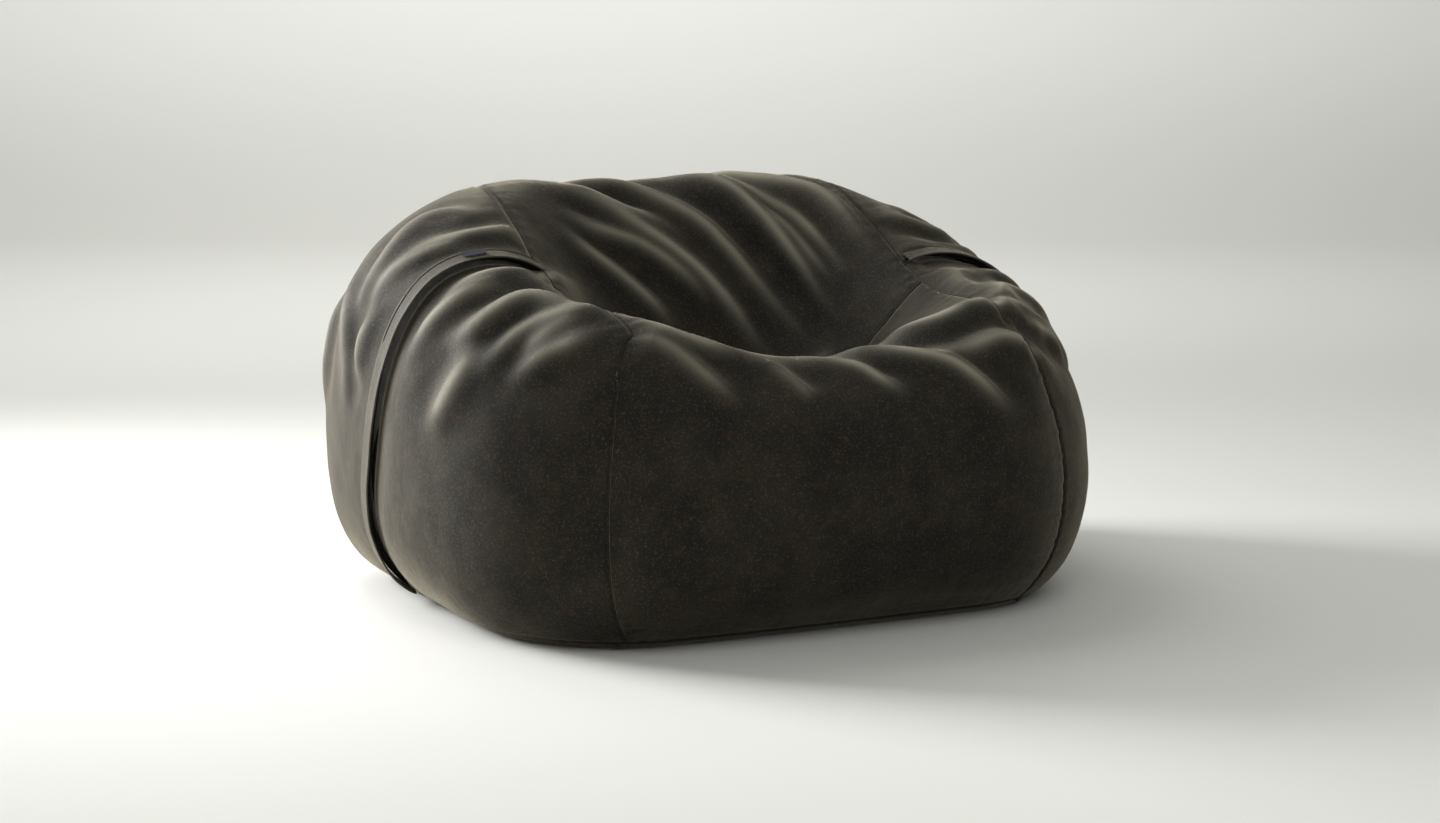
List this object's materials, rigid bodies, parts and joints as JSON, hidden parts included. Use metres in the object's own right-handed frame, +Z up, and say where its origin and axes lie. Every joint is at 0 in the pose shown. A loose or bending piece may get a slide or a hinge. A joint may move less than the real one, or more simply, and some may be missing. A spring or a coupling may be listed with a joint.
{
  "type": "bean bag chair",
  "caption": "Low, wide bean bag chair with a scooped seat, a raised back ridge, rounded arms and a flap-covered zip on each side.",
  "frame": {"origin": "on the floor, under the middle of the bounding box", "axes": "+Z up, the front faces -Y, +X towards the right side as seen by a person looking at the front"},
  "size_m": [1.2296, 1.0134, 0.6758],
  "materials": {
    "velvet": "dark brown-black velvet with a short nap",
    "seam": "folded velvet seam allowance with polyester thread",
    "zip_tape": "woven black polyester tape",
    "zip_coil": "black nylon coil",
    "zip_metal": "black enamelled zinc",
    "label": "dark navy woven label, plain",
    "liner": "plain white polyester lining",
    "beads": "expanded polystyrene beads"
  },
  "bodies": {
    "chair": {"backrest_panel": "velvet", "base_panel": "velvet", "base_seam": "seam", "bead_filling": "beads", "front_panel": "velvet", "hollow_seam": "seam", "inner_liner": "liner", "left_front_side_panel": "velvet", "left_rear_side_panel": "velvet", "left_strip_seam": "seam", "left_zip_flap": "velvet", "left_zip_front_coil": "zip_coil", "left_zip_front_tape": "zip_tape", "left_zip_rear_coil": "zip_coil", "left_zip_rear_tape": "zip_tape", "left_zip_stops": "zip_metal", "rear_panel": "velvet", "ridge_seam": "seam", "right_front_side_panel": "velvet", "right_rear_side_panel": "velvet", "right_strip_seam": "seam", "right_zip_flap": "velvet", "right_zip_front_coil": "zip_coil", "right_zip_front_tape": "zip_tape", "right_zip_rear_coil": "zip_coil", "right_zip_rear_tape": "zip_tape", "right_zip_stops": "zip_metal"},
    "left_slider": {"left_zip_slider": "zip_metal", "left_slider_crown": "zip_metal"},
    "right_slider": {"right_zip_slider": "zip_metal", "right_slider_crown": "zip_metal"},
    "woven_label": {"label": "label"}
  },
  "joints": [
    {"name": "left_zip_travel", "type": "hinge", "parent": "chair", "child": "left_slider", "pos_m": [-0.26895, 0.03988, 0.23646], "axis": [0, 0.9701, 0.2425], "range_deg": [0, 104]},
    {"name": "right_zip_travel", "type": "hinge", "parent": "chair", "child": "right_slider", "pos_m": [0.28122, 0.04087, 0.23254], "axis": [0, -0.9701, -0.2425], "range_deg": [0, 106.5]},
    {"name": "label_flip", "type": "hinge", "parent": "chair", "child": "woven_label", "pos_m": [-0.45618, -0.0298, 0.58421], "axis": [-0.9898, 0.0345, -0.1379], "range_deg": [0, 130]}
  ]
}
